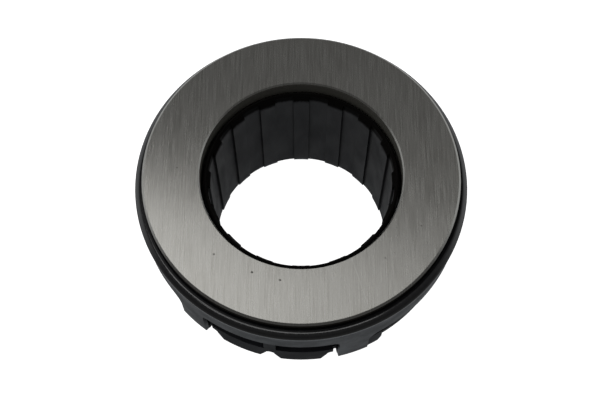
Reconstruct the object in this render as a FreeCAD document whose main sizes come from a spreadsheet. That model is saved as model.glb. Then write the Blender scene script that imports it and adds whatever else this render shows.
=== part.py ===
import FreeCAD, Part
import math
import os
import Sketcher
from FreeCAD import Placement, Rotation, Vector

# Clutch release bearing: an angular contact thrust ball bearing whose flat-faced ring spins.
# A rolled steel casing closes it and hooks under the rim of a moulded guide sleeve, on which
# the whole bearing can centre itself sideways. Millimetres, +Z along the bearing axis towards
# the thrust face, origin at the centre of the sleeve's lower end. -Y passes through the middle
# of one fork lug, +Y through the other.

SIZES = {
    # overall
    "overall_height": 38.2,
    "small_gap": 0.05,
    # spinning thrust ring
    "ring_radius": 38.0,
    "face_radius": 37.5,
    "face_chamfer": 0.45,
    "ring_bore_radius": 24.3,
    "bore_chamfer": 0.35,
    "bore_land": 3.9,
    "bore_relief_radius": 24.9,
    "flange_thickness": 2.1,
    "flange_edge_bevel": 0.3,
    "shoulder_radius": 33.0,
    "shoulder_top": 33.91,
    "hub_radius": 27.49,
    # ball track
    "ball_radius": 3.572,
    "pitch_radius": 31.0,
    "ball_height": 30.4,
    "track_radius": 3.715,
    "track_shift": 0.0799,
    # outer race
    "race_radius": 38.5,
    "race_bore_radius": 29.6,
    "race_bottom": 24.0,
    "race_top": 33.4,
    "race_chamfer": 0.5,
    "race_wall_radius": 34.508,
    "race_step_height": 26.892,
    # cage
    "pocket_radius": 3.72,
    "cage_foot_inner": 27.85,
    "cage_foot_outer": 29.3,
    "cage_foot_bottom": 25.6,
    "cage_foot_top": 26.95,
    "cage_neck_height": 28.55,
    "cage_rim_inner": 32.7,
    "cage_rim_outer": 34.15,
    "cage_rim_bottom": 31.35,
    "cage_rim_top": 33.7,
    # seals
    "upper_seal_outer": 35.8,
    "upper_seal_step": 34.6,
    "upper_seal_inner": 33.4,
    "upper_seal_web_low": 34.0,
    "upper_seal_web_top": 34.6,
    "upper_lip_outer": 36.5,
    "upper_lip_inner": 36.1,
    "lower_seal_inner": 27.6,
    "lower_seal_bottom": 24.1,
    "lower_seal_top": 25.3,
    "lower_seal_groove": 28.6,
    "lower_lip_top": 24.7,
    # support washer and wave spring
    "washer_inner": 31.5,
    "washer_outer": 36.0,
    "washer_bottom": 23.0,
    "washer_thickness": 0.95,
    "spring_inner": 31.8,
    "spring_outer": 35.8,
    "spring_middle": 22.0,
    "spring_thickness": 0.5,
    "spring_wave": 0.68,
    # casing
    "skirt_radius": 39.75,
    "sheet": 1.2,
    "bead_centre_radius": 38.25,
    "bead_height": 33.6,
    "bead_radius": 1.9,
    "tooth_bottom": 14.3,
    "hook_reach": 1.65,
    "hook_bend": 1.0,
    "tooth_angle": 10.8,
    "tooth_pitch": 60.0,
    "side_window_top": 24.7,
    "lug_window_top": 26.8,
    "side_root_fillet": 3.2,
    "lug_root_fillet": 1.9,
    # guide sleeve
    "land_radius": 22.05,
    "flute_radius": 22.6,
    "flute_angle": 12.2,
    "foot_lead_radius": 22.3,
    "foot_lead_height": 1.4,
    "top_lead_radius": 22.95,
    "top_lead_depth": 2.0,
    "sleeve_top": 35.6,
    "sleeve_neck_radius": 23.55,
    "sleeve_neck_bottom": 22.0,
    "sleeve_foot_radius": 24.6,
    "sleeve_end_chamfer": 0.4,
    "seat_height": 21.0,
    "seat_radius": 36.0,
    "rim_radius": 38.45,
    "rim_top": 17.8,
    "rim_bottom": 15.6,
    "hollow_radius": 31.0,
    "hollow_roof": 18.6,
    "rib_thickness": 1.5,
    "lug_bottom": 11.0,
    "lug_angle": 85.0,
    "channel_half_width": 2.6,
    "channel_neck_height": 14.5,
    "channel_neck_half_width": 1.1,
    "slot_radius": 36.1,
    "slot_bottom": 14.0,
    "slot_angle": 13.8,
    "rim_recess_radius": 37.75,
    "post_root": 35.0,
    "post_inner": 36.6,
    "post_top": 23.4,
    "post_angle": 4.4,
}

BALL_COUNT = 20
TOOTH_COUNT = 6
LAND_COUNT = 16
LUG_COUNT = 2
SPRING_WAVES = 4
FRONT = -90.0
OVERRUN = 1.0

doc = FreeCAD.newDocument("release_bearing")
sheet = doc.addObject("Spreadsheet::Sheet", "Sizes")
for row, (alias, number) in enumerate(SIZES.items(), start=1):
    sheet.set(f"A{row}", alias)
    sheet.set(f"B{row}", str(number))
    sheet.setAlias(f"B{row}", alias)
doc.recompute()


class Size:
    """A number together with the spreadsheet formula that it comes from."""

    def __init__(self, value, formula):
        self.value = float(value)
        self.formula = formula

    def __add__(self, other):
        other = as_size(other)
        return Size(self.value + other.value, f"({self.formula} + {other.formula})")

    def __sub__(self, other):
        other = as_size(other)
        return Size(self.value - other.value, f"({self.formula} - {other.formula})")

    def __mul__(self, other):
        other = as_size(other)
        return Size(self.value * other.value, f"({self.formula} * {other.formula})")

    def __neg__(self):
        return Size(-self.value, f"(-1 * {self.formula})")


def as_size(thing):
    """Turn an alias, a plain number or a Size into a Size."""
    if isinstance(thing, Size):
        return thing
    if isinstance(thing, str):
        return Size(sheet.get(thing), f"Sizes.{thing}")
    return Size(thing, str(thing))


def cosine(degrees):
    """Cosine of a Size in degrees."""
    return Size(math.cos(math.radians(degrees.value)), f"cos({degrees.formula})")


def sine(degrees):
    """Sine of a Size in degrees."""
    return Size(math.sin(math.radians(degrees.value)), f"sin({degrees.formula})")


def bind(feature, prop, size):
    """Set a property and bind it to its spreadsheet formula."""
    size = as_size(size)
    setattr(feature, prop, size.value)
    feature.setExpression(prop, size.formula)


# Corners and arcs of a sketch outline.

def corner(across, up):
    """A corner at two stated distances from the sketch origin; None leaves one to an arc."""
    return {
        "across": None if across is None else as_size(across),
        "up": None if up is None else as_size(up),
        "arc": None,
    }


def on_circle(centre, radius, side, across=None, up=None):
    """A corner on a circle at one stated distance; side, -1 or 1, picks which of the two places."""
    middle = (as_size(centre[0]).value, as_size(centre[1]).value)
    reach = as_size(radius).value
    point = corner(across, up)
    if across is None:
        level = point["up"].value
        half_chord = math.sqrt(max(0.0, reach ** 2 - (level - middle[1]) ** 2))
        point["near"] = (middle[0] + side * half_chord, level)
    else:
        place = point["across"].value
        half_chord = math.sqrt(max(0.0, reach ** 2 - (place - middle[0]) ** 2))
        point["near"] = (place, middle[1] + side * half_chord)
    return point


def arc_from(centre, radius, side, across=None, up=None, clockwise=False):
    """A corner on a circle where an arc of that circle starts."""
    start = on_circle(centre, radius, side, across, up)
    middle = (as_size(centre[0]), as_size(centre[1]))
    start["arc"] = {"centre": middle, "radius": as_size(radius), "clockwise": clockwise}
    return start


def rough_place(point):
    """Numbers close to a corner's final place."""
    if "near" in point:
        return Vector(*point["near"], 0)
    return Vector(point["across"].value, point["up"].value, 0)


def pin_down(sketch, kind, geometry, vertex, size):
    """Fix one coordinate of a sketch point to a formula."""
    number = sketch.addConstraint(Sketcher.Constraint(kind, -1, 1, geometry, vertex, size.value))
    sketch.setExpression(f"Constraints[{number}]", size.formula)


def plane_of(body, role):
    """One of the body's own origin planes or axes."""
    return next(item for item in body.Origin.OriginFeatures if item.Role == role)


def new_sketch(body, name, role, offset=0):
    """An empty sketch on an origin plane of the body, lifted along its normal."""
    sketch = body.newObject("Sketcher::SketchObject", name)
    sketch.AttachmentSupport = [(plane_of(body, role), "")]
    sketch.MapMode = "FlatFace"
    lift = as_size(offset)
    sketch.AttachmentOffset = Placement(Vector(0, 0, lift.value), Rotation())
    sketch.setExpression("AttachmentOffset.Base.z", lift.formula)
    return sketch


def draw_outline(sketch, points):
    """Add a closed outline of straight and round edges, every corner bound to the sheet."""
    places = [rough_place(point) for point in points]
    following = places[1:] + places[:1]
    first = len(sketch.Geometry)
    for point, start, end in zip(points, places, following):
        if point["arc"] is None:
            sketch.addGeometry(Part.LineSegment(start, end))
            continue
        arc = point["arc"]
        middle = Vector(arc["centre"][0].value, arc["centre"][1].value, 0)
        circle = Part.Circle(middle, Vector(0, 0, 1), arc["radius"].value)
        low, high = (end, start) if arc["clockwise"] else (start, end)
        angles = [math.atan2(place.y - middle.y, place.x - middle.x) for place in (low, high)]
        sketch.addGeometry(Part.ArcOfCircle(circle, angles[0], angles[1]))

    def ends(index):
        """Vertex numbers at the start and the end of an edge, in the outline's order."""
        arc = points[index]["arc"]
        return (2, 1) if arc and arc["clockwise"] else (1, 2)

    count = len(points)
    for index, point in enumerate(points):
        before = (index - 1) % count
        joined = Sketcher.Constraint(
            "Coincident", first + before, ends(before)[1], first + index, ends(index)[0])
        sketch.addConstraint(joined)
        if point["arc"]:
            edge = first + index
            pin_down(sketch, "DistanceX", edge, 3, point["arc"]["centre"][0])
            pin_down(sketch, "DistanceY", edge, 3, point["arc"]["centre"][1])
            radius = point["arc"]["radius"]
            number = sketch.addConstraint(Sketcher.Constraint("Radius", edge, radius.value))
            sketch.setExpression(f"Constraints[{number}]", radius.formula)
        if point["across"] is not None:
            pin_down(sketch, "DistanceX", first + index, ends(index)[0], point["across"])
        if point["up"] is not None:
            pin_down(sketch, "DistanceY", first + index, ends(index)[0], point["up"])


# Features that the pieces share.

def new_body(name):
    """A PartDesign body whose label names its piece."""
    body = doc.addObject("PartDesign::Body", name)
    body.Label = name
    return body


def revolve(body, points):
    """Turn a radius-height outline a full circle about the bearing axis."""
    sketch = new_sketch(body, f"{body.Name}_section", "XZ_Plane")
    draw_outline(sketch, points)
    turned = body.newObject("PartDesign::Revolution", f"{body.Name}_turned")
    turned.Profile = sketch
    turned.ReferenceAxis = (sketch, ["V_Axis"])
    turned.Angle = 360.0
    doc.recompute()
    return turned


def sector(inner, outer, middle, width):
    """Outline of a ring sector seen from above, within 45 degrees of the -Y axis."""
    axis = (0, 0)
    inner = as_size(inner)
    outer = as_size(outer)
    half = as_size(width) * 0.5
    early = cosine(as_size(middle) - half)
    late = cosine(as_size(middle) + half)
    return [
        arc_from(axis, outer, -1, across=outer * early),
        on_circle(axis, outer, -1, across=outer * late),
        arc_from(axis, inner, -1, across=inner * late, clockwise=True),
        on_circle(axis, inner, -1, across=inner * early),
    ]


def sector_feature(body, kind, name, outline, bottom, top):
    """Pad or pocket a flat outline between two heights."""
    sketch = new_sketch(body, f"{name}_outline", "XY_Plane", bottom)
    draw_outline(sketch, outline)
    feature = body.newObject(f"PartDesign::{kind}", name)
    feature.Profile = sketch
    bind(feature, "Length", as_size(top) - as_size(bottom))
    feature.Reversed = kind == "Pocket"
    doc.recompute()
    return feature


def repeat_round(body, feature, count):
    """Repeat a feature evenly round the bearing axis."""
    pattern = body.newObject("PartDesign::PolarPattern", f"{feature.Name}_ring")
    pattern.Originals = [feature]
    pattern.Axis = (plane_of(body, "Z_Axis"), [""])
    pattern.Angle = 360.0
    pattern.Occurrences = count
    body.Tip = pattern
    doc.recompute()
    return pattern


def fillet_edges(body, base, name, radius, wanted):
    """Round the edges of a feature that a test picks out."""
    picked = [f"Edge{number}" for number, edge in enumerate(base.Shape.Edges, start=1) if wanted(edge)]
    rounded = body.newObject("PartDesign::Fillet", name)
    rounded.Base = (base, picked)
    bind(rounded, "Radius", radius)
    body.Tip = rounded
    doc.recompute()
    return rounded


def make_thrust_ring():
    """Spinning ring: flat ground flange over a hub that carries the upper inner track."""
    top = as_size("overall_height")
    underside = top - "flange_thickness"
    track_centre = (as_size("pitch_radius") + "track_shift", as_size("ball_height") - "track_shift")
    bore = as_size("ring_bore_radius")
    relief = as_size("bore_relief_radius")
    land_bottom = top - "bore_land"
    body = new_body("thrust_ring")
    revolve(body, [
        corner(bore + "bore_chamfer", top),
        corner("face_radius", top),
        corner("ring_radius", top - "face_chamfer"),
        corner("ring_radius", underside + "flange_edge_bevel"),
        corner(as_size("ring_radius") - "flange_edge_bevel", underside),
        corner("shoulder_radius", underside),
        corner("shoulder_radius", "shoulder_top"),
        arc_from(track_centre, "track_radius", 1, up="shoulder_top"),
        on_circle(track_centre, "track_radius", -1, across="hub_radius"),
        corner("hub_radius", "race_bottom"),
        corner(relief, "race_bottom"),
        corner(relief, land_bottom - (relief - bore)),
        corner(bore, land_bottom),
        corner(bore, top - "bore_chamfer"),
    ])


def make_outer_race():
    """Stationary race inside the casing, with the lower outer track."""
    track_centre = (as_size("pitch_radius") - "track_shift", as_size("ball_height") + "track_shift")
    outside = as_size("race_radius")
    chamfer = as_size("race_chamfer")
    body = new_body("outer_race")
    revolve(body, [
        corner("race_bore_radius", "race_bottom"),
        corner(outside - chamfer, "race_bottom"),
        corner(outside, as_size("race_bottom") + chamfer),
        corner(outside, as_size("race_top") - chamfer),
        corner(outside - chamfer, "race_top"),
        corner("race_wall_radius", "race_top"),
        arc_from(track_centre, "track_radius", 1, across="race_wall_radius", clockwise=True),
        on_circle(track_centre, "track_radius", -1, up="race_step_height"),
        corner("race_bore_radius", "race_step_height"),
    ])


def make_balls():
    """Balls evenly spaced on the pitch circle, one separate piece each."""
    pitch = as_size("pitch_radius")
    for number in range(1, BALL_COUNT + 1):
        name = f"ball_{number:02d}"
        angle = as_size(FRONT + (number - 1) * 360.0 / BALL_COUNT)
        ball = doc.addObject("Part::Sphere", name)
        ball.Label = name
        bind(ball, "Radius", "ball_radius")
        across = pitch * cosine(angle)
        along = pitch * sine(angle)
        up = as_size("ball_height")
        ball.Placement = Placement(Vector(across.value, along.value, up.value), Rotation())
        ball.setExpression("Placement.Base.x", across.formula)
        ball.setExpression("Placement.Base.y", along.formula)
        ball.setExpression("Placement.Base.z", up.formula)


def make_ball_cage():
    """Slanted one-piece cage with a round pocket for each ball."""
    body = new_body("ball_cage")
    revolve(body, [
        corner("cage_foot_inner", "cage_foot_bottom"),
        corner("cage_foot_outer", "cage_foot_bottom"),
        corner("cage_foot_outer", "cage_foot_top"),
        corner("cage_rim_outer", "cage_rim_bottom"),
        corner("cage_rim_outer", "cage_rim_top"),
        corner("cage_rim_inner", "cage_rim_top"),
        corner("cage_foot_inner", "cage_neck_height"),
    ])
    pitch = as_size("pitch_radius")
    level = as_size("ball_height")
    radius = as_size("pocket_radius")
    sketch = new_sketch(body, "pocket_outline", "YZ_Plane")
    middle = (-pitch, level)
    draw_outline(sketch, [
        arc_from(middle, radius, -1, across=-pitch),
        on_circle(middle, radius, 1, across=-pitch),
    ])
    axis_start = Vector(-pitch.value, 0, 0)
    axis_end = Vector(-pitch.value, level.value, 0)
    spin_axis = sketch.addGeometry(Part.LineSegment(axis_start, axis_end), True)
    sketch.addConstraint(Sketcher.Constraint("Vertical", spin_axis))
    pin_down(sketch, "DistanceX", spin_axis, 1, -pitch)
    pocket = body.newObject("PartDesign::Groove", "ball_pocket")
    pocket.Profile = sketch
    pocket.ReferenceAxis = (sketch, ["Axis0"])
    pocket.Angle = 360.0
    doc.recompute()
    repeat_round(body, pocket, BALL_COUNT)


def make_seals():
    """Moulded rings that close the bearing above and below, both fixed to the outer race."""
    lip_top = as_size("overall_height") - "flange_thickness" - "small_gap" - "small_gap"
    revolve(new_body("upper_seal"), [
        corner("upper_seal_step", "race_top"),
        corner("upper_seal_outer", "race_top"),
        corner("upper_seal_outer", "upper_seal_web_top"),
        corner("upper_lip_outer", lip_top),
        corner("upper_lip_inner", lip_top),
        corner("upper_seal_step", "upper_seal_web_top"),
        corner("upper_seal_inner", "upper_seal_web_top"),
        corner("upper_seal_inner", "upper_seal_web_low"),
        corner("upper_seal_step", "upper_seal_web_low"),
    ])
    revolve(new_body("lower_seal"), [
        corner("lower_seal_inner", "lower_seal_bottom"),
        corner("race_bore_radius", "lower_seal_bottom"),
        corner("race_bore_radius", "lower_seal_top"),
        corner("lower_seal_groove", "lower_seal_top"),
        corner("lower_seal_groove", "lower_lip_top"),
        corner("lower_seal_inner", "lower_lip_top"),
    ])


def make_support_washer():
    """Flat steel washer between the wave spring and the outer race."""
    plate = doc.addObject("Part::Cylinder", "washer_plate")
    bind(plate, "Radius", "washer_outer")
    bind(plate, "Height", "washer_thickness")
    hole = doc.addObject("Part::Cylinder", "washer_hole")
    bind(hole, "Radius", "washer_inner")
    bind(hole, "Height", "washer_thickness")
    washer = doc.addObject("Part::Cut", "support_washer")
    washer.Label = "support_washer"
    washer.Base = plate
    washer.Tool = hole
    washer.Placement = Placement(Vector(0, 0, as_size("washer_bottom").value), Rotation())
    washer.setExpression("Placement.Base.z", as_size("washer_bottom").formula)
    doc.recompute()


def make_wave_spring():
    """Closed flat-wire ring that rises and falls round its circle."""
    wave = as_size("spring_wave").value
    half_thickness = as_size("spring_thickness").value * 0.5
    samples = 18 * SPRING_WAVES

    def rim(radius, lift):
        points = []
        for step in range(samples):
            angle = 2 * math.pi * step / samples
            rise = wave * math.sin(SPRING_WAVES * angle) + lift
            points.append(Vector(radius * math.cos(angle), radius * math.sin(angle), rise))
        curve = Part.BSplineCurve()
        curve.interpolate(Points=points, PeriodicFlag=True)
        return curve.toShape()

    inner = as_size("spring_inner").value
    outer = as_size("spring_outer").value
    rims = [rim(inner, -half_thickness), rim(outer, -half_thickness),
            rim(outer, half_thickness), rim(inner, half_thickness)]
    faces = [Part.makeRuledSurface(rims[side], rims[(side + 1) % 4]) for side in range(4)]
    shell = Part.makeShell(faces)
    shell.sewShape()
    solid = Part.makeSolid(shell)
    if solid.Volume < 0:
        solid.reverse()
    spring = doc.addObject("Part::Feature", "wave_spring")
    spring.Label = "wave_spring"
    spring.Shape = solid
    spring.Placement = Placement(Vector(0, 0, as_size("spring_middle").value), Rotation())


def make_casing():
    """Pressed steel casing: rolled bead on top, six hooked teeth round the skirt's edge."""
    outside = as_size("skirt_radius")
    inside = outside - "sheet"
    centre = (as_size("bead_centre_radius"), as_size("bead_height"))
    bead = as_size("bead_radius")
    curl = bead - "sheet"
    tip = inside - "hook_reach"
    bottom = as_size("tooth_bottom")
    bend = as_size("hook_bend")
    bend_centre = (outside - bend, bottom + bend)
    body = new_body("casing")
    revolve(body, [
        corner(tip, bottom),
        arc_from(bend_centre, bend, -1, across=outside - bend),
        on_circle(bend_centre, bend, 1, up=bottom + bend),
        arc_from(centre, bead, -1, across=outside),
        on_circle(centre, bead, -1, up=centre[1]),
        arc_from(centre, curl, -1, up=centre[1], clockwise=True),
        on_circle(centre, curl, -1, across=inside),
        corner(inside, bottom + "sheet"),
        corner(tip, bottom + "sheet"),
    ])
    window_width = as_size("tooth_pitch") - "tooth_angle"
    below = bottom - OVERRUN
    reach_in = tip - OVERRUN
    reach_out = outside + OVERRUN
    side_outline = sector(reach_in, reach_out, FRONT, window_width)
    side_cut = sector_feature(body, "Pocket", "side_window", side_outline, below, "side_window_top")
    side_ring = repeat_round(body, side_cut, TOOTH_COUNT)
    side_top = as_size("side_window_top").value
    lug_top = as_size("lug_window_top").value

    def radial_at(height, lug_side):
        """Test for the short radial edges at a window's upper corners."""
        lug_reach = math.radians(as_size("tooth_pitch").value * 0.5)

        def wanted(edge):
            first = edge.Vertexes[0].Point
            last = edge.Vertexes[-1].Point
            level = abs(first.z - height) < 0.01 and abs(last.z - height) < 0.01
            short = abs(edge.Length - as_size("sheet").value) < 0.05
            off_lug = math.atan2(abs(first.x), abs(first.y))
            return level and short and (off_lug < lug_reach) == lug_side
        return wanted

    fillet_edges(body, side_ring, "side_roots", "side_root_fillet", radial_at(side_top, False))
    lug_outline = sector(reach_in, reach_out, FRONT, window_width)
    lug_cut = sector_feature(body, "Pocket", "lug_window", lug_outline, below, "lug_window_top")
    lug_ring = repeat_round(body, lug_cut, LUG_COUNT)
    fillet_edges(body, lug_ring, "lug_roots", "lug_root_fillet", radial_at(lug_top, True))


def make_guide_sleeve():
    """Moulded sleeve: fluted bore, spring seat, rim, and two castellated fork lugs."""
    foot = as_size("sleeve_foot_radius")
    neck = as_size("sleeve_neck_radius")
    end_chamfer = as_size("sleeve_end_chamfer")
    seat = as_size("seat_height")
    rim = as_size("rim_radius")
    land = as_size("land_radius")
    sleeve_top = as_size("sleeve_top")
    body = new_body("guide_sleeve")
    revolve(body, [
        corner("foot_lead_radius", 0),
        corner(foot - end_chamfer, 0),
        corner(foot, end_chamfer),
        corner(foot, "hollow_roof"),
        corner("hollow_radius", "hollow_roof"),
        corner("hollow_radius", "rim_bottom"),
        corner(rim, "rim_bottom"),
        corner(rim, "rim_top"),
        corner("seat_radius", "rim_top"),
        corner("seat_radius", seat),
        corner(foot, seat),
        corner(neck, "sleeve_neck_bottom"),
        corner(neck, sleeve_top - end_chamfer),
        corner(neck - end_chamfer, sleeve_top),
        corner("top_lead_radius", sleeve_top),
        corner(land, sleeve_top - "top_lead_depth"),
        corner(land, "foot_lead_height"),
    ])
    lug_outline = sector("hollow_radius", rim, FRONT, "lug_angle")
    lug = sector_feature(body, "Pad", "fork_lug", lug_outline, "lug_bottom", "rim_bottom")
    repeat_round(body, lug, LUG_COUNT)
    for name, inner, bottom, top in (("post_foot", "post_root", "rim_top", seat),
                                     ("post", "post_inner", seat, "post_top")):
        outline = sector(inner, rim, FRONT, "post_angle")
        post = sector_feature(body, "Pad", name, outline, bottom, top)
        repeat_round(body, post, TOOTH_COUNT)

    rib_sketch = new_sketch(body, "rib_outline", "XY_Plane", "rim_bottom")
    rib_half = as_size("rib_thickness") * 0.5
    inner_end = -(foot - "sleeve_end_chamfer")
    outer_end = -(as_size("hollow_radius") + "sleeve_end_chamfer")
    draw_outline(rib_sketch, [
        corner(-rib_half, outer_end),
        corner(rib_half, outer_end),
        corner(rib_half, inner_end),
        corner(-rib_half, inner_end),
    ])
    rib = body.newObject("PartDesign::Pad", "rib")
    rib.Profile = rib_sketch
    bind(rib, "Length", as_size("hollow_roof") - "rim_bottom")
    doc.recompute()
    repeat_round(body, rib, LAND_COUNT)

    flute_outline = sector(land - OVERRUN, "flute_radius", FRONT, "flute_angle")
    flute = sector_feature(body, "Pocket", "flute", flute_outline, -OVERRUN, sleeve_top + OVERRUN)
    repeat_round(body, flute, LAND_COUNT)

    slot_middle = as_size(FRONT) + as_size("tooth_pitch") * 0.5
    for name, depth, bottom, top in (("hook_slot", "slot_radius", "slot_bottom", "rim_bottom"),
                                     ("rim_recess", "rim_recess_radius", "rim_bottom", "rim_top")):
        outline = sector(depth, rim + OVERRUN, slot_middle, "slot_angle")
        slot = sector_feature(body, "Pocket", name, outline, bottom, top)
        repeat_round(body, slot, TOOTH_COUNT)

    neck_level = as_size("channel_neck_height")
    neck_half = as_size("channel_neck_half_width")
    mouth_half = as_size("channel_half_width")
    mouth_level = as_size("lug_bottom")
    channel_start = as_size("hollow_radius") - OVERRUN
    channel_sketch = new_sketch(body, "channel_outline", "XZ_Plane", channel_start)
    draw_outline(channel_sketch, [
        corner(-mouth_half, mouth_level),
        corner(mouth_half, mouth_level),
        arc_from((0, neck_level), neck_half, 1, up=neck_level),
        on_circle((0, neck_level), neck_half, -1, up=neck_level),
    ])
    channel = body.newObject("PartDesign::Pocket", "channel")
    channel.Profile = channel_sketch
    bind(channel, "Length", rim + OVERRUN - channel_start)
    channel.Reversed = True
    doc.recompute()
    repeat_round(body, channel, LAND_COUNT)


def make_pieces():
    """Build every piece in turn."""
    make_thrust_ring()
    make_outer_race()
    make_balls()
    make_ball_cage()
    make_seals()
    make_support_washer()
    make_wave_spring()
    make_casing()
    make_guide_sleeve()
    doc.recompute()


def check_and_export():
    """Refuse any failed feature or bad solid, then write one STEP file for each piece."""
    for item in doc.Objects:
        bad = [state for state in item.State if state in ("Invalid", "Error")]
        if bad:
            raise RuntimeError(f"{item.Name} is {bad}")
    labels = ["thrust_ring", "outer_race", "ball_cage", "upper_seal", "lower_seal",
              "support_washer", "wave_spring", "casing", "guide_sleeve"]
    labels += [f"ball_{number:02d}" for number in range(1, BALL_COUNT + 1)]
    os.makedirs("parts", exist_ok=True)
    for label in labels:
        shape = doc.getObjectsByLabel(label)[0].Shape
        if shape.isNull() or not shape.isValid() or len(shape.Solids) != 1:
            raise RuntimeError(f"{label} has a bad shape")
        shape.exportStep(f"parts/{label}.step")


make_pieces()
check_and_export()
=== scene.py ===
import math

import bpy
from mathutils import Matrix, Vector


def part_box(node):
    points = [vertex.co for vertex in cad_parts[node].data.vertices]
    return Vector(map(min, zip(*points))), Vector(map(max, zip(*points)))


# Looks for the clutch release bearing: a procedural finish for every CAD node, a pale floor,
# soft overhead lights and the photograph's camera. Metres, +Z up, bearing axis through the origin.

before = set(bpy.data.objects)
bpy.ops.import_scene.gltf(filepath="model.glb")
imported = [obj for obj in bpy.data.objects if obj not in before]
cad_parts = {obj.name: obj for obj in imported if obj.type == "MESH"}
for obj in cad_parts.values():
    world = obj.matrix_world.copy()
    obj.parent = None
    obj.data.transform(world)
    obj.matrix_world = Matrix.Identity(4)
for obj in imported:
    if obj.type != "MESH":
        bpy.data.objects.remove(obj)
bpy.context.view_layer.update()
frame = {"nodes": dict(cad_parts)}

MM = 0.001
LUG_TURN = math.radians(11.25)
VIEW_RIGHT = Vector((math.cos(LUG_TURN), math.sin(LUG_TURN), 0.0))
VIEW_NEAR = Vector((math.sin(LUG_TURN), -math.cos(LUG_TURN), 0.0))
UP = Vector((0.0, 0.0, 1.0))
FACE_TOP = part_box("thrust_ring")[1].z
FACE_CENTRE = Vector((0.0, 0.0, FACE_TOP))
FACE_RADIUS = 37.5 * MM
RING_BORE = 24.3 * MM
BEAD_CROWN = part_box("casing")[1].z
BEAD_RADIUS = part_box("casing")[1].y
SLEEVE_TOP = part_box("guide_sleeve")[1].z
SLEEVE_WALL = 29.0 * MM
FLOOR_WIDTH = 6.0


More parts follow.
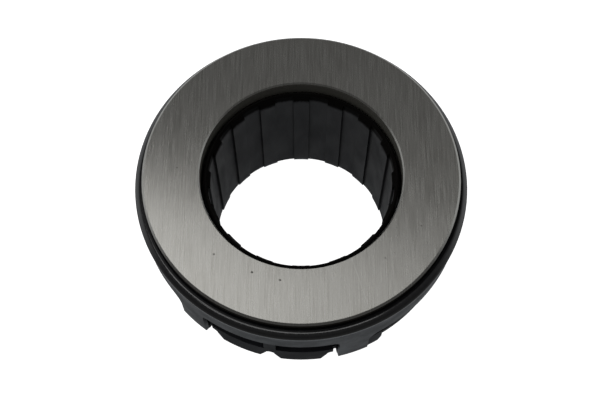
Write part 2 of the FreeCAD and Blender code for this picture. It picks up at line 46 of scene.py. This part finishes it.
class Finish:
    """A procedural material and short ways to add nodes to it."""

    def __init__(self, name):
        self.material = bpy.data.materials.new(name)
        self.material.use_nodes = True
        self.tree = self.material.node_tree
        self.surface = self.tree.nodes["Principled BSDF"]
        self.place = self.add("ShaderNodeTexCoord").outputs["Object"]

    def add(self, kind, **settings):
        """A new node with its settings."""
        node = self.tree.nodes.new(kind)
        for key, value in settings.items():
            setattr(node, key, value)
        return node

    def feed(self, socket, source):
        """Join an output to a socket, or set a plain value on it."""
        if isinstance(source, bpy.types.NodeSocket):
            self.tree.links.new(source, socket)
        else:
            socket.default_value = source

    def maths(self, operation, first, second=0.0, third=0.0):
        """One arithmetic step."""
        node = self.add("ShaderNodeMath", operation=operation)
        for socket, source in zip(node.inputs, (first, second, third)):
            self.feed(socket, source)
        return node.outputs[0]

    def stretched(self, scale, turn=0.0, move=(0.0, 0.0, 0.0)):
        """The object's own coordinates, turned about Z and then scaled."""
        turned = self.add("ShaderNodeMapping", vector_type="TEXTURE")
        self.feed(turned.inputs["Vector"], self.place)
        turned.inputs["Rotation"].default_value = (0.0, 0.0, turn)
        sized = self.add("ShaderNodeMapping")
        self.feed(sized.inputs["Vector"], turned.outputs[0])
        sized.inputs["Scale"].default_value = scale
        sized.inputs["Location"].default_value = move
        return sized.outputs[0]

    def even(self, scale):
        """The object's own coordinates, scaled alike every way."""
        return self.stretched((scale, scale, scale))

    def noise(self, vector, detail=3.0, roughness=0.5):
        """Smooth noise between 0 and 1."""
        node = self.add("ShaderNodeTexNoise")
        self.feed(node.inputs["Vector"], vector)
        node.inputs["Scale"].default_value = 1.0
        node.inputs["Detail"].default_value = detail
        node.inputs["Roughness"].default_value = roughness
        return node.outputs["Fac"]

    def specks(self, vector, size):
        """Sparse round spots: 1 inside a spot, 0 outside."""
        node = self.add("ShaderNodeTexVoronoi")
        self.feed(node.inputs["Vector"], vector)
        node.inputs["Scale"].default_value = 1.0
        return self.span(node.outputs["Distance"], size, size * 0.55)

    def span(self, source, start, end, low=0.0, high=1.0):
        """Map start..end smoothly on to low..high, held at both ends."""
        node = self.add("ShaderNodeMapRange", interpolation_type="SMOOTHSTEP")
        self.feed(node.inputs["Value"], source)
        limits = {"From Min": start, "From Max": end, "To Min": low, "To Max": high}
        for name, value in limits.items():
            node.inputs[name].default_value = value
        return node.outputs[0]

    def blend(self, amount, first, second):
        """A colour between two, by an amount from 0 to 1."""
        node = self.add("ShaderNodeMix", data_type="RGBA")
        self.feed(node.inputs["Factor"], amount)
        for name, source in (("A", first), ("B", second)):
            is_socket = isinstance(source, bpy.types.NodeSocket)
            self.feed(node.inputs[name], source if is_socket else (*source, 1.0))
        return node.outputs["Result"]

    def mix(self, amount, first, second):
        """A number between two, by an amount from 0 to 1."""
        node = self.add("ShaderNodeMix", data_type="FLOAT")
        for name, source in (("Factor", amount), ("A", first), ("B", second)):
            self.feed(node.inputs[name], source)
        return node.outputs["Result"]

    def bump(self, height, depth, strength=1.0, under=None):
        """Tilt the surface normal by a height pattern that is depth metres deep."""
        node = self.add("ShaderNodeBump")
        self.feed(node.inputs["Height"], height)
        node.inputs["Distance"].default_value = depth
        node.inputs["Strength"].default_value = strength
        if under is not None:
            self.feed(node.inputs["Normal"], under)
        return node.outputs[0]

    def height_and_radius(self):
        """Height above the floor and distance from the bearing axis."""
        split = self.add("ShaderNodeSeparateXYZ")
        self.feed(split.inputs[0], self.place)
        across, along, up = split.outputs
        squares = self.maths("MULTIPLY_ADD", across, across, self.maths("MULTIPLY", along, along))
        return up, self.maths("SQRT", squares)

    def facing_up(self):
        """How far the surface faces up: 1 on a flat top, 0 on a side wall."""
        turned = self.add("ShaderNodeVectorTransform", vector_type="NORMAL",
                          convert_from="WORLD", convert_to="OBJECT")
        self.feed(turned.inputs[0], self.add("ShaderNodeNewGeometry").outputs["Normal"])
        split = self.add("ShaderNodeSeparateXYZ")
        self.feed(split.inputs[0], turned.outputs[0])
        return split.outputs[2]

    def aim_tangent(self, direction):
        """Point the anisotropic tangent along a direction in the object's own frame."""
        fixed = self.add("ShaderNodeCombineXYZ")
        for socket, number in zip(fixed.inputs, direction):
            socket.default_value = number
        turned = self.add("ShaderNodeVectorTransform", vector_type="VECTOR",
                          convert_from="OBJECT", convert_to="WORLD")
        self.feed(turned.inputs[0], fixed.outputs[0])
        self.feed(self.surface.inputs["Tangent"], turned.outputs[0])

    def round_coordinates(self, around, outward, upward):
        """Angle, radius and height as one vector, each with its own scale."""
        split = self.add("ShaderNodeSeparateXYZ")
        self.feed(split.inputs[0], self.place)
        across, along, up = split.outputs
        angle = self.maths("ARCTAN2", along, across)
        _, radius = self.height_and_radius()
        joined = self.add("ShaderNodeCombineXYZ")
        self.feed(joined.inputs[0], self.maths("MULTIPLY", angle, around))
        self.feed(joined.inputs[1], self.maths("MULTIPLY", radius, outward))
        self.feed(joined.inputs[2], self.maths("MULTIPLY", up, upward))
        return joined.outputs[0]

    def finish(self, colour, roughness, normal=None, settings=None):
        """Feed the shader; the settings are plain values on its own sockets."""
        self.feed(self.surface.inputs["Base Color"], colour)
        self.feed(self.surface.inputs["Roughness"], roughness)
        if normal is not None:
            self.feed(self.surface.inputs["Normal"], normal)
        for name, value in (settings or {}).items():
            self.surface.inputs[name].default_value = value
        return self.material


def ground_face_steel():
    """Thrust ring: straight-ground bright face and edge, dark hardened skin elsewhere, and a bore wall
    made paler with painted light.
    """
    made = Finish("ground_face_steel")
    height, radius = made.height_and_radius()
    bright = made.maths("MULTIPLY", made.span(made.facing_up(), 0.45, 0.6),
                        made.span(height, FACE_TOP - 0.6 * MM, FACE_TOP - 0.55 * MM))

    fine = made.noise(made.stretched((3800.0, 110.0, 500.0), LUG_TURN), detail=4.0, roughness=0.62)
    broad = made.noise(made.stretched((900.0, 26.0, 200.0), LUG_TURN, (3.0, 1.0, 0.0)), detail=3.0)
    cloud = made.noise(made.stretched((70.0, 55.0, 60.0)), detail=4.0, roughness=0.6)
    patches = made.noise(made.stretched((60.0, 60.0, 60.0), 0.0, (5.0, 2.0, 0.0)), detail=1.0)
    pits = made.maths("MULTIPLY", made.specks(made.stretched((260.0, 330.0, 260.0)), 0.10),
                      made.span(patches, 0.60, 0.64))
    scratch = made.span(made.noise(made.stretched((2600.0, 14.0, 90.0), 0.5), detail=1.0), 0.755, 0.80)

    pale = made.blend(made.span(fine, 0.32, 0.68), (0.44, 0.432, 0.402), (0.60, 0.59, 0.555))
    pale = made.blend(made.span(broad, 0.35, 0.65, 0.0, 0.45), pale, (0.58, 0.572, 0.54))
    pale = made.blend(made.span(cloud, 0.52, 0.85, 0.0, 0.35), pale, (0.40, 0.375, 0.335))
    pale = made.blend(made.maths("MULTIPLY", pits, 0.85), pale, (0.05, 0.042, 0.035))
    pale = made.blend(made.maths("MULTIPLY", scratch, 0.3), pale, (0.78, 0.77, 0.74))

    skin_noise = made.noise(made.round_coordinates(14.0, 900.0, 900.0), detail=5.0, roughness=0.65)
    skin = made.blend(skin_noise, (0.026, 0.024, 0.020), (0.058, 0.053, 0.044))
    # Painted light: the bore wall and its chamfer are made much paler than the rest of the skin,
    # standing in for light falling on them.
    painted_light_bore = made.span(radius, RING_BORE + 2.7 * MM, RING_BORE + 1.2 * MM)
    skin = made.blend(painted_light_bore, skin, (0.24, 0.235, 0.205))
    colour = made.blend(bright, skin, pale)

    rough_face = made.span(fine, 0.2, 0.8, 0.20, 0.29)
    rough_skin = made.span(skin_noise, 0.2, 0.8, 0.45, 0.62)
    rough = made.mix(bright, rough_skin, rough_face)
    metal = made.span(bright, 0.0, 1.0, 0.25, 1.0)
    made.feed(made.surface.inputs["Metallic"], metal)

    grain = made.bump(fine, 0.012 * MM, 0.9)
    grain = made.bump(pits, -0.03 * MM, 0.6, grain)
    made.aim_tangent(VIEW_RIGHT)
    return made.finish(colour, rough, grain, {"Anisotropic": 0.85})


def turned_steel(name, dark, light, rough_low, rough_high, lines):
    """Hardened steel with fine tool marks that run round the axis."""
    made = Finish(name)
    marks = made.noise(made.round_coordinates(1.2, lines, lines), detail=3.0, roughness=0.6)
    cloud = made.noise(made.even(160.0), detail=4.0, roughness=0.6)
    colour = made.blend(made.span(marks, 0.3, 0.7), dark, light)
    colour = made.blend(made.span(cloud, 0.5, 0.9, 0.0, 0.6), colour, dark)
    rough = made.span(cloud, 0.25, 0.75, rough_low, rough_high)
    return made.finish(colour, rough, made.bump(marks, 0.004 * MM, 0.7), {"Metallic": 1.0})


def ball_steel():
    """Lapped balls: almost a mirror, with the faintest haze."""
    made = Finish("ball_steel")
    haze = made.noise(made.even(700.0), detail=5.0, roughness=0.6)
    colour = made.blend(haze, (0.50, 0.50, 0.51), (0.66, 0.66, 0.66))
    rough = made.span(haze, 0.3, 0.75, 0.05, 0.14)
    return made.finish(colour, rough, made.bump(haze, 0.0004 * MM, 0.5), {"Metallic": 1.0})


def blackened_steel():
    """Pressed casing: glossy oiled bead, satin blue-grey skirt, and painted shade that dulls
    reflections on the bead's inner side next to the ring.
    """
    made = Finish("blackened_steel")
    height, radius = made.height_and_radius()
    bead = made.span(height, BEAD_CROWN - 3.9 * MM, BEAD_CROWN - 2.6 * MM)
    fine = made.noise(made.even(1300.0), detail=3.0, roughness=0.6)
    cloud = made.noise(made.stretched((150.0, 150.0, 220.0)), detail=5.0, roughness=0.6)
    drawn = made.noise(made.round_coordinates(190.0, 60.0, 90.0), detail=3.0, roughness=0.6)
    rubbed = made.span(made.noise(made.round_coordinates(9.0, 900.0, 900.0), detail=6.0), 0.63, 0.75)

    skirt = made.blend(made.span(drawn, 0.3, 0.7), (0.012, 0.016, 0.020), (0.022, 0.028, 0.034))
    skirt = made.blend(made.span(cloud, 0.5, 0.8, 0.0, 0.7), skirt, (0.010, 0.011, 0.013))
    black = made.blend(made.span(fine, 0.35, 0.7), (0.004, 0.004, 0.005), (0.009, 0.009, 0.010))
    colour = made.blend(bead, skirt, black)
    colour = made.blend(made.maths("MULTIPLY", rubbed, 0.25), colour, (0.06, 0.06, 0.062))

    rough_skirt = made.span(cloud, 0.25, 0.75, 0.34, 0.50)
    rough_bead = made.span(fine, 0.3, 0.75, 0.11, 0.21)
    rough = made.mix(bead, rough_skirt, rough_bead)
    relief = made.bump(fine, 0.014 * MM, 0.6)
    relief = made.bump(cloud, 0.05 * MM, 0.5, relief)
    # Painted shade: reflections are dulled on the bead's inner side next to the ring, where the ring
    # shades it.
    shaded_groove = made.span(radius, BEAD_RADIUS - 1.2 * MM, BEAD_RADIUS - 1.55 * MM)
    unshaded = made.span(shaded_groove, 0.0, 1.0, 1.0, 0.08)
    gloss = made.maths("MULTIPLY", made.span(bead, 0.0, 1.0, 0.6, 1.0), unshaded)
    made.feed(made.surface.inputs["Specular IOR Level"], gloss)
    return made.finish(colour, rough, relief, {"IOR": 1.6})


def sleeve_plastic():
    """Moulded black polyamide: matte, faintly blue, greasy near the top of the bore, with a painted
    shadow of the ring darkening a band at the top.
    """
    made = Finish("sleeve_plastic")
    height, radius = made.height_and_radius()
    fine = made.noise(made.even(3400.0), detail=3.0, roughness=0.6)
    flow = made.noise(made.round_coordinates(5.0, 300.0, 110.0), detail=5.0, roughness=0.6)
    drag = made.noise(made.round_coordinates(120.0, 200.0, 45.0), detail=4.0, roughness=0.6)
    near_top = made.span(height, SLEEVE_TOP - 9.6 * MM, SLEEVE_TOP - 0.6 * MM)
    grease = made.maths("MULTIPLY", near_top, made.span(flow, 0.45, 0.62))

    colour = made.blend(made.span(flow, 0.3, 0.75), (0.011, 0.011, 0.014), (0.021, 0.022, 0.027))
    colour = made.blend(made.span(drag, 0.55, 0.8, 0.0, 0.6), colour, (0.030, 0.031, 0.038))
    colour = made.blend(made.maths("MULTIPLY", grease, 0.8), colour, (0.006, 0.006, 0.006))
    # Painted shade: a dark band with a wavy lower edge at the top of the sleeve, where the ring's
    # shadow falls.
    top_shadow_level = made.maths("MULTIPLY_ADD", flow, 2.4 * MM, height)
    painted_top_shadow = made.span(top_shadow_level, SLEEVE_TOP - 2.9 * MM, SLEEVE_TOP - 0.9 * MM)
    colour = made.blend(made.maths("MULTIPLY", painted_top_shadow, 0.85), colour, (0.008, 0.007, 0.006))
    smear = made.maths("MULTIPLY", grease, 0.22)
    rough = made.maths("SUBTRACT", made.span(flow, 0.25, 0.8, 0.44, 0.60), smear)
    relief = made.bump(fine, 0.010 * MM, 0.5)
    relief = made.bump(drag, 0.02 * MM, 0.5, relief)
    shine = made.span(radius, SLEEVE_WALL, SLEEVE_WALL + 2.0 * MM, 0.45, 0.15)
    # Painted shade: reflections are dulled in the same top band.
    shine = made.maths("MULTIPLY", shine, made.span(painted_top_shadow, 0.0, 1.0, 1.0, 0.02))
    made.feed(made.surface.inputs["Specular IOR Level"], shine)
    return made.finish(colour, rough, relief)


def moulded(name, dark, light, rough_low, rough_high, grain):
    """Plain moulded polymer or rubber with a fine surface grain."""
    made = Finish(name)
    fine = made.noise(made.even(grain), detail=4.0, roughness=0.65)
    cloud = made.noise(made.even(210.0), detail=4.0, roughness=0.6)
    colour = made.blend(made.span(cloud, 0.3, 0.7), dark, light)
    rough = made.span(fine, 0.25, 0.75, rough_low, rough_high)
    return made.finish(colour, rough, made.bump(fine, 0.008 * MM, 0.6))


def dress(nodes):
    """Give every CAD node its finish."""
    spring = turned_steel("spring_steel", (0.10, 0.085, 0.075), (0.22, 0.20, 0.19), 0.22, 0.40, 2200.0)
    race = turned_steel("bearing_steel", (0.30, 0.29, 0.28), (0.52, 0.51, 0.49), 0.16, 0.32, 3200.0)
    cage = moulded("cage_polymer", (0.075, 0.06, 0.035), (0.13, 0.105, 0.06), 0.38, 0.55, 2400.0)
    seal = moulded("seal_rubber", (0.012, 0.012, 0.012), (0.028, 0.027, 0.026), 0.45, 0.70, 3800.0)
    finishes = {
        "thrust_ring": ground_face_steel(),
        "outer_race": race,
        "ball_cage": cage,
        "upper_seal": seal,
        "lower_seal": seal,
        "support_washer": spring,
        "wave_spring": spring,
        "casing": blackened_steel(),
        "guide_sleeve": sleeve_plastic(),
    }
    balls = ball_steel()
    for name, node in nodes.items():
        node.data.materials.clear()
        node.data.materials.append(finishes.get(name, balls))


def make_floor():
    """A wide white floor: clear from below, and left out of reflections and bounced light."""
    bpy.ops.mesh.primitive_plane_add(size=FLOOR_WIDTH, location=(0.0, 0.0, 0.0))
    floor = bpy.context.object
    floor.name = "floor"
    made = Finish("floor_paper")
    tone = made.noise(made.even(40.0), detail=2.0)
    colour = made.blend(tone, (0.86, 0.86, 0.86), (0.88, 0.88, 0.88))
    made.surface.inputs["Emission Color"].default_value = (1.0, 1.0, 1.0, 1.0)
    floor.data.materials.append(made.finish(colour, 0.9, None, {"Emission Strength": 1.05}))
    through = made.add("ShaderNodeMixShader")
    made.feed(through.inputs[0], made.add("ShaderNodeNewGeometry").outputs["Backfacing"])
    made.feed(through.inputs[1], made.surface.outputs[0])
    made.feed(through.inputs[2], made.add("ShaderNodeBsdfTransparent").outputs[0])
    made.feed(made.tree.nodes["Material Output"].inputs["Surface"], through.outputs[0])
    floor.visible_glossy = False
    floor.visible_diffuse = False


def make_camera():
    """Camera at the photograph's angle: 64.3 degrees above the face, nearly over the lug axis."""
    elevation = math.radians(64.3)
    distance = 6.326 * FACE_RADIUS
    aim_near = 0.196 * FACE_RADIUS
    aim_left = 0.007 * FACE_RADIUS
    offset = VIEW_NEAR * math.cos(elevation) + UP * math.sin(elevation)
    data = bpy.data.cameras.new("camera")
    data.lens = 59.76
    data.sensor_width = 36.0
    data.clip_start = 0.01
    camera = bpy.data.objects.new("camera", data)
    bpy.context.scene.collection.objects.link(camera)
    camera.location = FACE_CENTRE + offset * distance
    aim = FACE_CENTRE + VIEW_NEAR * aim_near - VIEW_RIGHT * aim_left
    look = aim - camera.location
    camera.rotation_euler = look.to_track_quat("-Z", "Y").to_euler()
    bpy.context.scene.camera = camera


def softbox(name, centre, heading, size, power):
    """A rectangular light that shines straight down."""
    data = bpy.data.lights.new(name, "AREA")
    data.shape = "RECTANGLE"
    data.size, data.size_y = size
    data.energy = power
    lamp = bpy.data.objects.new(name, data)
    bpy.context.scene.collection.objects.link(lamp)
    lamp.matrix_world = Matrix.Translation(centre) @ Matrix.Rotation(heading, 4, "Z")


def make_surround():
    """Grey room: pale below, dark at eye level towards the camera, brighter at the sides and back."""
    world = bpy.data.worlds.new("studio")
    world.use_nodes = True
    bpy.context.scene.world = world
    nodes, links = world.node_tree.nodes, world.node_tree.links
    place = nodes.new("ShaderNodeTexCoord")
    split = nodes.new("ShaderNodeSeparateXYZ")
    level = nodes.new("ShaderNodeMapRange")
    level.inputs["From Min"].default_value = -1.0
    ramp = nodes.new("ShaderNodeValToRGB")
    links.new(place.outputs["Generated"], split.inputs[0])
    links.new(split.outputs[2], level.inputs["Value"])
    links.new(level.outputs["Result"], ramp.inputs[0])
    stops = ramp.color_ramp.elements
    stops[0].position, stops[0].color = 0.0, (0.30, 0.325, 0.35, 1.0)
    stops[1].position, stops[1].color = 1.0, (0.20, 0.20, 0.195, 1.0)
    for position, tone in ((0.07, 0.30), (0.12, 0.10), (0.53, 0.06), (0.87, 0.09), (0.93, 0.12)):
        stops.new(position).color = (tone, tone, tone, 1.0)

    away = nodes.new("ShaderNodeVectorMath")
    away.operation = "DOT_PRODUCT"
    away.inputs[1].default_value = -VIEW_NEAR
    links.new(place.outputs["Generated"], away.inputs[0])
    steepness = nodes.new("ShaderNodeMath")
    steepness.operation = "ABSOLUTE"
    links.new(split.outputs[2], steepness.inputs[0])
    share = nodes.new("ShaderNodeMath")
    share.operation = "MULTIPLY"
    bands = ((away.outputs["Value"], -0.35, 0.25), (steepness.outputs[0], 0.72, 0.30))
    for socket, (source, start, end) in zip(share.inputs, bands):
        band = nodes.new("ShaderNodeMapRange")
        band.interpolation_type = "SMOOTHSTEP"
        band.inputs["From Min"].default_value = start
        band.inputs["From Max"].default_value = end
        links.new(source, band.inputs["Value"])
        links.new(band.outputs["Result"], socket)

    sides = nodes.new("ShaderNodeMix")
    sides.data_type = "RGBA"
    sides.inputs["B"].default_value = (0.48, 0.49, 0.50, 1.0)
    links.new(share.outputs[0], sides.inputs["Factor"])
    links.new(ramp.outputs[0], sides.inputs["A"])
    links.new(sides.outputs["Result"], nodes["Background"].inputs["Color"])


def light_studio():
    """Two softboxes side by side behind a slanted far edge, and a strip that lights the bead."""
    height = 1.0
    edge_turn = math.radians(15.4)
    across = VIEW_RIGHT * math.cos(edge_turn) + VIEW_NEAR * math.sin(edge_turn)
    toward = VIEW_NEAR * math.cos(edge_turn) - VIEW_RIGHT * math.sin(edge_turn)
    heading = math.atan2(across.y, across.x)
    overhead = FACE_CENTRE + UP * height
    depth = 0.8
    apart = 0.22
    far_edge = overhead - VIEW_RIGHT * 0.25 - VIEW_NEAR * 0.459
    middle = far_edge + toward * depth * 0.5
    softbox("softbox_left", middle - across * apart, heading, (0.46, depth), 1.5)
    softbox("softbox_right", middle + across * apart, heading, (0.42, depth), 0.67)

    near_strip = overhead - VIEW_RIGHT * 0.12 + VIEW_NEAR * 0.49
    softbox("softbox_near", near_strip, LUG_TURN, (1.3, 0.2), 0.85)


dress(frame["nodes"])
make_floor()
make_camera()
make_surround()
light_studio()
bpy.context.scene.view_settings.view_transform = "Standard"
